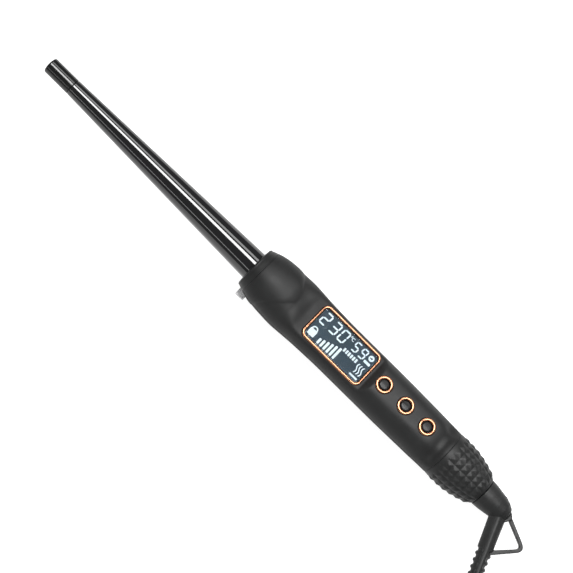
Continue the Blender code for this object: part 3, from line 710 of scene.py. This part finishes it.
def handle_radius(at, turn):
    """Distance of the nominal surface from the axis, turn being 0 at the display and 90 degrees at +Y."""
    radius = between(HANDLE, at)
    height = cos(turn)
    if height < 0.05:
        return radius
    top = between(TOP, at) / height
    soft, tight = FLAT_SHARPNESS
    power = soft + (tight - soft) * ease((at - 191) / 15)
    return (radius**-power + top**-power) ** (-1 / power)


def crease_depth(at, turn):
    """How far the surface steps down behind the nose's smooth front: clearly at +Y, faintly at -Y."""
    place = math.degrees(turn)
    place = place - 360 if place > 253 else place
    behind = at - between(CREASE, place)
    depth = CREASE_DEPTH * between(CREASE_SHARE, place)
    if behind < 0:
        round_off = between([(-107, 1.5), (-45, 2.0), (-5, 6.0), (100, 6.0), (253, 1.5)], place)
        return depth * max(0.0, 1 + behind / round_off) ** 3
    return depth * (1 - ease(behind / 14))


def waist_depth(at, turn):
    """A saddle across the top: it falls away behind the last button and rises again to the grip."""
    fall = ease((at - WAIST[0]) / (WAIST[1] - WAIST[0]))
    rise = ease((at - WAIST[1]) / (SHELL_END - WAIST[1]))
    return WAIST_DEPTH * (fall - rise) * ease((cos(turn) - 0.35) * 2.2)


def rim_inset(at):
    """The rounding of both end rims."""
    near = min(at - SHELL_START, SHELL_END - at) / 0.5
    return 0.15 * (1 - math.sqrt(1 - (1 - near) ** 2)) if near < 1 else 0.0


def spread(low, high, step):
    count = max(1, round((high - low) / step))
    return [low + (high - low) * k / count for k in range(count)]


def shell_shape(first_turn, last_turn, columns):
    """Part of the handle's wall between two turns, with its rims and seam edges eased."""
    stations = [SHELL_START, SHELL_START + 0.06, SHELL_START + 0.2, SHELL_START + 0.5]
    stations += spread(166.6, 205, 0.6) + spread(205, 248, 3.5) + spread(248, 256, 0.55)
    stations += spread(256, 300, 3.5) + spread(300, 307, 1.0)
    stations += [SHELL_END - 0.5, SHELL_END - 0.2, SHELL_END - 0.06, SHELL_END]
    seam = 0.0125
    span = last_turn - first_turn - 2 * seam
    turns = [first_turn + seam + span * k / columns for k in range(columns + 1)]
    shape = bmesh.new()
    grid = []
    for turn in turns:
        from_seam = (min(turn - first_turn, last_turn - turn) - seam) * 15.5 / 0.5
        edge = 0.3 * (1 - from_seam) ** 2 if from_seam < 1 else 0.0
        outer = []
        for at in stations:
            lower = crease_depth(at, turn) + waist_depth(at, turn) + rim_inset(at) + edge
            outer.append(handle_radius(at, turn) - lower)
        inner = [handle_radius(s, turn) - 0.6 * waist_depth(s, turn) - SHELL_WALL for s in stations]
        row = []
        for at, radius in [*zip(stations, outer), *list(zip(stations, inner))[::-1]]:
            row.append(shape.verts.new((at, radius * sin(turn), radius * cos(turn))))
        grid.append(row)
    for a, b in zip(grid, grid[1:]):
        for k in range(len(a)):
            after = (k + 1) % len(a)
            shape.faces.new([a[k], a[after], b[after], b[k]])
    count = len(stations)
    for row in (grid[0], grid[-1]):
        for k in range(count - 1):
            shape.faces.new([row[k], row[k + 1], row[2 * count - 2 - k], row[2 * count - 1 - k]])
    return shape


BEZEL_SIZE = (43.9, 23.5)
BEZEL_STROKE = 1.6
BEZEL_CORNER = 4.0
BEZEL_HEIGHT = (9.3, 10.8)
WINDOW_SIZE = (40.1, 19.7)
RING_R = (3.25, 5.1)


def make_top_shell():
    shell = piece("top_shell", shell_shape(-pi / 2, pi / 2, 110), "soft_touch_black", None)
    width, height = [size + 0.5 for size in BEZEL_SIZE]
    pockets = prism(rounded_box(width, height, BEZEL_CORNER, 12, (DISPLAY_AT, 0)), BEZEL_HEIGHT[0] - 0.3, 20)
    for _, at in BUTTONS:
        wide = RING_R[1] + 0.25
        lathe([(10, 3.8), (12.9, 3.8), (12.9, wide), (20, wide)], 72, "Z", (at, 0), False, pockets)
    opening = prism(rounded_box(40.2, 19.5, 1.5, 6, (DISPLAY_AT, 0)), 5, 20)
    cut(shell, [pockets, opening])
    settle(shell, "soft_touch_black", "handle", "handle_top_shell")


def make_bottom_shell():
    shell = piece("bottom_shell", shell_shape(pi / 2, pi * 3 / 2, 90), "soft_touch_black", None)
    holes = bmesh.new()
    for _, at in SCREWS:
        floor = 4.6 - between(HANDLE, at)
        lathe([(-25, 2.7), (floor, 2.7)], 48, "Z", (at, 0), False, holes)
    cut(shell, [holes])
    settle(shell, "soft_touch_black", "handle", "handle_bottom_shell")
    lugs = bmesh.new()
    for _, at in SCREWS:
        wall = 0.6 - between(HANDLE, at)
        boss = [(wall, 2.75), (wall, 3.7), (-0.3, 3.7), (-0.3, 1.5), (wall + 4.0, 1.5), (wall + 4.0, 2.75)]
        lathe(boss, 40, "Z", (at, 0), True, lugs)
    at, height = STAND_PIN
    for side in (1, -1):
        turns = [pi + pi * k / 20 for k in range(21)]
        outline = [Vector((at + 2.3 * cos(t), height + 2.3 * sin(t))) for t in turns]
        outline += [Vector((at + 4.3, -13.4)), Vector((at - 0.6, -12.9))]
        low, high = sorted((side * 4.25, side * 6.55))
        prism(outline, low, high, "Y", 0.3, lugs)
    piece("bottom_lugs", lugs, "soft_touch_black", "handle")


def make_screws():
    """Pan heads with a cross recess, deep in their holes."""
    for name, at in SCREWS:
        head = 4.3 - between(HANDLE, at)
        profile = [(head - 1.5, 0.05), (head - 1.45, 1.2), (head - 1.15, 1.9), (head - 0.7, 2.2)]
        profile += [(head, 2.2), (head, 1.0), (5.0, 1.0), (6.0, 0.3)]
        screw = piece(f"screw_{name}", lathe(profile, 40, "Z", (at, 0), False), "steel", None)
        slots = [rounded_box(w, h, 0.2, 3, (at, 0)) for w, h in ((2.4, 0.6), (0.6, 2.4))]
        cut(screw, [prism(slot, head - 3, head - 0.7) for slot in slots])
        settle(screw, "steel", "handle", f"shell_screw_{name}")


# ---- textured grip ----

GRIP = [(308.5, 14.85), (312.2, 15.05), (318.9, 14.9), (322.2, 14.6), (325.6, 14.05), (328.9, 13.3)]
GRIP += [(332.2, 12.45), (335.6, 11.35), (338.6, 9.5), (339.1, 9.1)]
GRIP_ROWS = [311.3, 315.8, 320.1, 324.7, 329.0, 333.3, 338.1]
GRIP_COLUMNS = 20
GRIP_RELIEF = 0.75


def pyramid(u, v):
    """Height of a four-sided pyramid with worn edges over a square from -1 to 1."""
    u, v = math.sqrt(u * u + 0.004), math.sqrt(v * v + 0.004)
    return 1 - (u**10 + v**10) ** 0.1


def make_grip():
    finer = 14
    stations = [308.5, 308.58, 308.8, 309.2, 310.0, 310.8]
    for a, b in zip(GRIP_ROWS, GRIP_ROWS[1:]):
        stations += [a + (b - a) * k / finer for k in range(finer)]
    stations += [GRIP_ROWS[-1], 338.4, 338.7, 338.95, 339.1]
    columns = GRIP_COLUMNS * finer
    rings = []
    for at in stations:
        base = between(GRIP, at)
        near = min((at - GRIP[0][0]) / 0.8, 1)
        base -= 0.35 * (1 - math.sqrt(1 - (1 - near) ** 2))
        ring = []
        for k in range(columns):
            relief = 0.0
            if GRIP_ROWS[0] < at < GRIP_ROWS[-1]:
                row = bisect.bisect_right(GRIP_ROWS, at) - 1
                u = 2 * (at - GRIP_ROWS[row]) / (GRIP_ROWS[row + 1] - GRIP_ROWS[row]) - 1
                v = 2 * (k / finer % 1) - 1
                relief = GRIP_RELIEF * (pyramid(u, v) - 0.45)
            else:
                relief = -GRIP_RELIEF * 0.2
            radius = base + relief
            turn = tau * k / columns
            ring.append(Vector((at, radius * sin(turn), radius * cos(turn))))
        rings.append(ring)
    bore = [(339.1, 5.3), (323.0, 5.3), (323.0, 10.5), (303.6, 10.5), (303.6, 11.1), (308.4, 11.1)]
    for at, radius in bore:
        turns = [tau * k / columns for k in range(columns)]
        rings.append([Vector((at, radius * sin(t), radius * cos(t))) for t in turns])
    piece("grip_surface", skinned(rings, True), "grip_black", "handle", ["rear_grip"], sharp=32)


# ---- display ----

SEGMENTS = {"0": "abcdef", "2": "abged", "3": "abgcd", "5": "afgcd", "9": "abcdfg"}
FIGURE_HEIGHT = 9.06


def figure(outline, shape, low=9.0, high=FIGURE_HEIGHT):
    """A flat mark on the display, from points about the display's middle."""
    prism([Vector((DISPLAY_AT + x, y)) for x, y in outline], low, high, shape=shape)


def digit(shape, sign, left, bottom, width, height, stroke):
    slant = 0.09
    half, gap = height / 2, 0.12
    inner = stroke / 2
    across, rise = width - stroke, half - inner
    for name in SEGMENTS[sign]:
        flat = name in "adg"
        length = (across if flat else rise) - 2 * gap
        bar = [(0, 0), (inner, inner), (length - inner, inner)]
        bar += [(length, 0), (length - inner, -inner), (inner, -inner)]
        x = left + inner + (across if name in "bc" else 0) + (gap if flat else 0)
        y = bottom + inner + {"d": 0, "e": 0, "c": 0, "g": rise, "f": rise, "b": rise, "a": 2 * rise}[name]
        outline = [(x + u, y + v) if flat else (x - v, y + gap + u) for u, v in bar]
        figure([(u + slant * v, v) for u, v in outline], shape)


def block(shape, width, height, corner, steps, centre):
    figure(rounded_box(width, height, corner, steps, centre), shape)


def round_bar(shape, x, low, high, width):
    block(shape, width, high - low, width * 0.45, 5, (x, (low + high) / 2))


def arc_band(shape, x, y, radius, width, first, last, steps=24):
    turns = [first + (last - first) * k / steps for k in range(steps + 1)]
    low, high = radius - width / 2, radius + width / 2
    for a, b in zip(turns, turns[1:]):
        corners = [(low, a), (high, a), (high, b), (low, b)]
        figure([(x + r * cos(t), y + r * sin(t)) for r, t in corners], shape)


def wavy(shape, x, low, high, width):
    steps = 24
    for k in range(steps):
        rows = []
        for t in (k / steps, (k + 1) / steps):
            middle, y = x + 0.55 * sin(tau * t), low + (high - low) * t
            rows.append([(middle - width / 2, y), (middle + width / 2, y)])
        figure([rows[0][0], rows[0][1], rows[1][1], rows[1][0]], shape)


def make_figures():
    shape = bmesh.new()
    for sign, left in (("2", -19.0), ("3", -11.8), ("0", -5.4)):
        digit(shape, sign, left, 0.7, 5.0, 8.2, 0.95)
    for sign, left in (("5", 4.4), ("9", 9.6)):
        digit(shape, sign, left, 2.2, 4.0, 6.7, 0.85)
    arc_band(shape, 1.3, 8.0, 0.42, 0.28, 0, tau, 16)
    arc_band(shape, 2.9, 7.3, 0.9, 0.35, radians(50), radians(310), 16)
    figure([(17.2 + 1.75 * cos(tau * k / 32), 6.8 + 1.75 * sin(tau * k / 32)) for k in range(32)], shape)
    block(shape, 4.4, 1.6, 0.4, 4, (16.9, 3.1))
    for k in range(6):  # plain blocks in the place of a word
        block(shape, 1.2, 2.4, 0.25, 3, (3.0 + 1.75 * k, -0.4))
    block(shape, 4.7, 4.3, 0.6, 5, (-16.7, -6.3))
    arc_band(shape, -16.7, -4.2, 1.65, 0.75, 0, pi)
    for k in range(6):
        round_bar(shape, -10.7 + 2.38 * k, -9.0, -5.2 + 0.82 * k, 1.45)
    for k in range(3):
        wavy(shape, 14.7 + 1.75 * k, -6.0, 0.0, 0.65)
    block(shape, 5.6, 1.1, 0.4, 4, (16.4, -7.9))
    piece("display_figures", shape, "lcd", "handle", look=FIGURES)
    marks = bmesh.new()
    low, high = FIGURE_HEIGHT, FIGURE_HEIGHT + 0.04
    arrow = [(16.3, 6.5), (17.3, 6.5), (17.3, 6.0), (18.2, 6.8), (17.3, 7.6), (17.3, 7.1), (16.3, 7.1)]
    figure(arrow, marks, low, high)
    piece("display_marks", marks, "lcd", "handle", look=LOOKS["lcd"])


def make_display():
    centre = (DISPLAY_AT, 0)
    low, high = BEZEL_HEIGHT
    section = [(0, low), (0, high - 0.75)]
    section += [(0.8 - 0.8 * cos(t), high - 0.75 + 0.75 * sin(t)) for t in (0.3, 0.65, 1.0, 1.3, pi / 2)]
    section += [(0.8 + 0.8 * cos(t), high - 0.75 + 0.75 * sin(t)) for t in (1.3, 1.0, 0.65, 0.3)]
    section += [(BEZEL_STROKE, high - 0.75), (BEZEL_STROKE, low)]
    rings = []
    for inset, height in section:
        width, depth = [size - 2 * inset for size in BEZEL_SIZE]
        outline = rounded_box(width, depth, BEZEL_CORNER - inset, 12, centre)
        rings.append([Vector((x, y, height)) for x, y in outline])
    piece("bezel_frame", skinned(rings, True), "rose_gold", "handle", ["display_bezel"])
    window = prism(rounded_box(*WINDOW_SIZE, 2.2, 10, centre), 9.3, 10.1, edge=0.12)
    piece("window_glass", window, "display_glass", "handle", ["display_window"], sharp=3)
    panel = prism(rounded_box(39.9, 19.3, 1.2, 6, centre), 7.2, 9.0)
    piece("lcd_face", panel, "lcd", "handle", ["lcd_panel"])
    make_figures()


def make_buttons():
    inner, outer = RING_R
    for name, at in BUTTONS:
        ring = [(13.2, inner), (13.2, outer), (13.9, outer)]
        turns = [pi * k / 14 for k in range(15)]
        ring += [(13.95 + 0.8 * sin(t), (inner + outer) / 2 + 0.92 * cos(t)) for t in turns]
        ring += [(13.9, inner)]
        shape = lathe(ring, 96, "Z", (at, 0))
        piece(f"ring_{name}", shape, "rose_gold", "handle", [f"button_ring_{name}"])
        cap = [(9.4, 0.05), (9.4, 1.6), (10.5, 1.6), (10.5, 3.4), (11.9, 3.4), (11.9, 2.95), (13.55, 2.95)]
        cap += [(13.55 + 0.75 * sin(t), 2.15 + 0.8 * cos(t)) for t in (0.3, 0.6, 0.9, 1.2)]
        cap += [(14.3, 1.6), (14.36, 0.9), (14.38, 0.05)]
        shape = lathe(cap, 72, "Z", (at, 0), False)
        piece(f"cap_{name}", shape, "button_black", f"button_{name}", [f"button_{name}"])


# ---- stand ----

STAND_RAKE = 2.2
STAND_FOOT = (5.8, 7.5, 12.0)


def fuse(obj, size):
    """Joins overlapping closed shapes into one skin and rounds its edges a little."""
    remesh = obj.modifiers.new("fuse", "REMESH")
    remesh.mode = "VOXEL"
    remesh.voxel_size = size * MM
    soft = obj.modifiers.new("soft", "SMOOTH")
    soft.factor = 0.5
    soft.iterations = 2
    apply_modifiers(obj).shade_smooth()


def make_stand():
    pin = WAND @ (Vector((STAND_PIN[0], 0, STAND_PIN[1])) * MM) / MM
    length, inner, outer = STAND_FOOT
    toe = pin.x - STAND_RAKE
    leg = [(-3.9, pin.z + 1.2), (-3.9, 4.8), (-outer, 2.2), (-outer, 0), (-inner, 0), (-4.6, 2.0)]
    outline = soften(leg + [(-y, z) for y, z in leg[::-1]], 0.9)
    shape = prism(outline, -1.1, 1.1, "X")
    shear = Matrix.Identity(4)
    shear[0][2], shear[0][3] = STAND_RAKE / pin.z, toe
    bmesh.ops.transform(shape, matrix=shear, verts=shape.verts)
    for side in (1, -1):
        foot = rounded_box(length, outer - inner, 0.4, 5, (toe, side * (inner + outer) / 2))
        prism(foot, 0.0, 2.4, "Z", 0.2, shape)
    lathe([(-3.9, 2.1), (3.9, 2.1)], 40, "Y", (pin.x, pin.z), False, shape)
    stand = piece("stand_plate", shape, "stand_grey", None, place=WORLD)
    fuse(stand, 0.25)
    bore = lathe([(-9, 1.0), (9, 1.0)], 32, "Y", (pin.x, pin.z), False)
    cut(stand, [bore])
    settle(stand, "stand_grey", "stand", "stand")
    rod = [(-6.8, 0.1), (-6.8, 0.6), (-6.6, 0.9), (6.6, 0.9), (6.8, 0.6), (6.8, 0.1)]
    piece("hinge_pin", lathe(rod, 32, "Y", STAND_PIN, False), "steel", "handle", ["stand_pin"])


# ---- cord guard ----

ELBOW = 353.6
GUARD_START = 339.6
SPINDLE_END = 346.0
BEND = radians(68)
DROOP = radians(7.9)
GUARD_LENGTH = 48.0
GUARD_R = (4.8, 4.2)
RIBS_FROM = 23.0
RIB_PITCH = 4.0
RIB_DEPTH = 1.0


def guard_point(along, across, out=0.0):
    """A point in the guard's plane: along the axis, across towards the cord's side."""
    side = Vector((0, -cos(DROOP), -sin(DROOP)))
    up = Vector((0, -sin(DROOP), cos(DROOP)))
    return Vector((along, 0, 0)) + side * across + up * out


def sleeve_section(distance):
    """Outline round the sleeve: two ridges, facets between them and, further on, ribs in its sides."""
    share = min(max(distance / GUARD_LENGTH, 0), 1)
    radius = GUARD_R[0] + (GUARD_R[1] - GUARD_R[0]) * share
    wave = min(max(1.6 * cos(tau * (distance - RIBS_FROM) / RIB_PITCH), -1), 1)
    notch = RIB_DEPTH * (1 - wave) / 2 * ease((distance - RIBS_FROM) / 1.0)
    notch *= 1 - ease((distance - GUARD_LENGTH + 2.5) / 1.0)
    outline = []
    count = 72
    for k in range(count):
        turn = tau * k / count
        x, y = sin(turn), cos(turn)
        facet = (abs(x) ** 1.5 + abs(y) ** 1.5) ** (-1 / 1.5)
        beside = ease((abs(x) - 0.36) / 0.2)
        reach = radius * facet * 1.04 - notch * beside
        outline.append((x * reach, y * reach))
    return outline


def strap(outline, half, shape, reach=1.0):
    """A flat piece in the guard's plane, with round corners."""
    made = prism(soften(outline, reach), -half, half)
    for vert in made.verts:
        vert.co = guard_point(*vert.co)
    mesh = bpy.data.meshes.new("strap")
    made.to_mesh(mesh)
    made.free()
    shape.from_mesh(mesh)
    bpy.data.meshes.remove(mesh)


def make_guard():
    collar = [(GUARD_START, 8.6), (GUARD_START + 0.3, 8.8), (344, 8.5), (350, 7.6), (355, 6.4), (358.2, 4.6)]
    collar += [(359.6, 2.0), (359.8, 0.05)]
    shape = lathe([(GUARD_START, 0.05), *collar], 72, looped=False)
    start, end = -2.0, GUARD_LENGTH
    count = 130
    distances = [start + (end - start) * k / count for k in range(count + 1)]
    path = [guard_point(ELBOW + d * cos(BEND), d * sin(BEND)) for d in distances]
    swept(path, lambda k: sleeve_section(distances[k]), Vector((0, -sin(DROOP), cos(DROOP))), shape)
    web = [(347, 6.8), (347, -7.2), (352, -7.4), (361.6, -1.4), (361.8, 0.6), (360.2, 4)]
    strap(web, 2.1, shape, 1.5)
    loop_outer = [(361.6, -1.0), (375.6, 5.2), (377.6, 6.8), (378.1, 8.6), (377.2, 10.6), (366.5, 22.7)]
    loop_inner = [(363.0, 22.6), (375.4, 9.6), (375.9, 8.3), (375.0, 7.2), (360.0, 0.8)]
    strap([*loop_outer, (363.7, 23.7), *loop_inner], 1.6, shape, 0.8)
    guard = piece("guard_sleeve", shape, "guard_rubber", None)
    fuse(guard, 0.3)
    front, rear = GUARD_START - 2, SPINDLE_END + 0.3
    cut(guard, [lathe([(front, 0.05), (front, 4.9), (rear, 4.9), (rear, 0.05)], 48, looped=False)])
    settle(guard, "guard_rubber", "swivel", "cord_guard")


# ---- tie and plug ----

TIE_WIDTH = 9.0
PLUG_REAR = (308.0, -5.4, 6.85)
PLUG_RELIEF = 19.0
PLUG_BODY = (34.0, 35.3, 13.7)
PLUG_PIN = (2.0, 19.0, 9.5)  # radius, length, distance from the middle


def make_tie():
    """A woven strap round the hank."""
    middle = sum(HANK_FOLDS) / 2
    centre = (HANK_MIDDLE, 10.5)
    half = TIE_WIDTH / 2
    section = [(-half, 0.35), (-half + 0.15, 0.1), (-half + 0.5, 0.0), (half - 0.5, 0.0), (half - 0.15, 0.1)]
    section += [(half, 0.35), (half, 0.8), (half - 0.3, 1.1), (half - 0.8, 1.2), (-half + 0.8, 1.2)]
    section += [(-half + 0.3, 1.1), (-half, 0.8)]
    rings = []
    for across, out in section:
        outline = rounded_box(27.0 + 2 * out, 18.6 + 2 * out, 1.4 + out, 8, centre)
        rings.append([Vector((middle + across, y, z)) for y, z in outline])
    piece("tie_band", skinned(rings, True), "tie_black", "handle", ["cord_tie"], place=WORLD)


def make_plug():
    rear, across, height = PLUG_REAR
    length, width, thick = PLUG_BODY
    back, front = rear - PLUG_RELIEF, rear - PLUG_RELIEF - length
    sections = [(back + 0.3, 0.42), (back, 0.46), (back - 2.5, 0.58), (back - 5, 0.72), (back - 8, 0.86)]
    sections += [(back - 11, 0.95), (back - 15, 1.0), (front + 1.0, 1.0), (front + 0.3, 0.985)]
    sections.append((front, 0.95))
    rings = []
    for at, share in sections:
        tall = thick * (0.35 + 0.65 * share)
        outline = rounded_box(width * share, tall, 3.4 * (0.5 + 0.5 * share), 8, (across, height))
        rings.append([Vector((at, y, z)) for y, z in outline])
    shape = skinned(rings)
    relief = [(back - 3, 0.1), (back - 3, 5.2)]
    for k in range(60):
        at = back + (rear - back) * k / 60
        groove = 0.35 * max(0, sin(tau * (at - back) / 3.2)) * ease((at - back - 1) / 2)
        relief.append((at, 5.2 - 1.4 * (at - back) / PLUG_RELIEF - groove))
    relief += [(rear - 0.2, 3.7), (rear, 3.4), (rear, 0.1)]
    lathe(relief, 48, "X", (across, height), False, shape)
    piece("plug_moulding", shape, "plug_black", "handle", ["plug_body"], place=WORLD)
    radius, reach, apart = PLUG_PIN
    for name, side in (("left", 1), ("right", -1)):
        pin = [(front - reach, 0.05), (front - reach, radius - 1.2), (front - reach + 0.35, radius - 0.5)]
        pin += [(front - reach + 1.0, radius - 0.08), (front - reach + 1.5, radius), (front - 0.3, radius)]
        pin.append((front - 0.3, 0.05))
        place = (across + side * apart, height)
        shape = lathe(pin, 32, "X", place, False)
        piece(f"pin_{name}", shape, "plug_metal", "handle", [f"plug_pin_{name}"], place=WORLD)


# ---- studio ----


def make_floor():
    size, height = 3000.0, -0.2
    shape = bmesh.new()
    corners = [(x * size, y * size, height) for x, y in ((-1, -1), (1, -1), (1, 1), (-1, 1))]
    shape.faces.new([shape.verts.new(c) for c in corners])
    look = Look("lit_table", (0.22, 0.22, 0.22), 0.7)
    look.set("Emission Color", (1, 1, 1, 1))
    look.set("Emission Strength", 0.96)
    look.tint(look.noise(3), 0.01)
    look.rough(look.noise(20), 0.05)
    look.bump(look.noise(800), 0.00002, 0.1)
    floor = piece("floor", shape, "stand_grey", None, place=WORLD, look=look.material)


LIGHT_DISTANCE, LIGHT_LENGTH = 1.15, 1.3  # metres


def strip_light(name, angle, width, radiance):
    """A long soft light along the wand, at an angle from the camera's direction towards +Y."""
    data = bpy.data.lights.new(name, "AREA")
    data.shape = "RECTANGLE"
    data.size = LIGHT_LENGTH
    data.size_y = 2 * LIGHT_DISTANCE * math.tan(radians(width) / 2)
    data.energy = radiance * pi * data.size * data.size_y
    light = bpy.data.objects.new(name, data)
    bpy.context.scene.collection.objects.link(light)
    away = (TOWARD * cos(radians(angle)) + ACROSS * sin(radians(angle))).normalized()
    turn = Matrix((ALONG, away.cross(ALONG), away)).transposed().to_4x4()
    light.matrix_world = Matrix.Translation(WAND @ (AIM * MM) + away * LIGHT_DISTANCE) @ turn
    light.visible_camera = False


def make_studio():
    make_floor()
    strip_light("key", 20.75, 18.5, 20)
    strip_light("second", 51, 16, 5)
    strip_light("left", -47, 4, 5)
    world = bpy.data.worlds.new("studio")
    world.use_nodes = True
    world.node_tree.nodes["Background"].inputs["Color"].default_value = (0.2, 0.2, 0.2, 1)
    bpy.context.scene.world = world
    bpy.context.scene.view_settings.view_transform = "Standard"


make_barrel()
make_cool_tip()
make_nose_ring()
make_top_shell()
make_bottom_shell()
make_screws()
make_grip()
make_display()
make_buttons()
make_stand()
make_guard()
make_tie()
make_plug()
repaint_nodes()
make_studio()

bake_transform(mains_cord)
